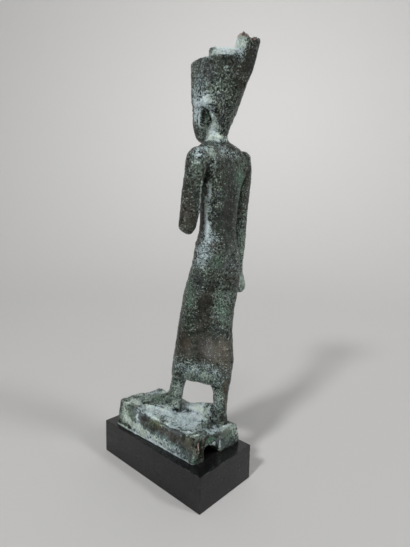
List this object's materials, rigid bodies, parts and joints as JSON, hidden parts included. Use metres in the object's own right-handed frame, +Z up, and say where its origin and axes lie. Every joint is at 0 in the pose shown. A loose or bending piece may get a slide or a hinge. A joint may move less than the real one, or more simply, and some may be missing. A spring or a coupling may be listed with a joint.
{
  "type": "standing neith statuette",
  "caption": "Striding goddess statuette in patinated cast bronze with a flat-topped crown and sheath dress, on its cast base and a low black plinth.",
  "frame": {"origin": "centre of the plinth's underside", "axes": "+Z up; the figure faces -Y, with its left hand on the +X side"},
  "size_m": [0.0392, 0.0635, 0.174],
  "materials": {
    "bronze": "dark brown cast bronze, pitted, under a granular green and pale blue-grey patina",
    "plinth": "black acrylic, polished top and satin sides"
  },
  "bodies": {
    "root": {"bronze_statuette": "bronze", "display_plinth": "plinth"}
  },
  "joints": []
}
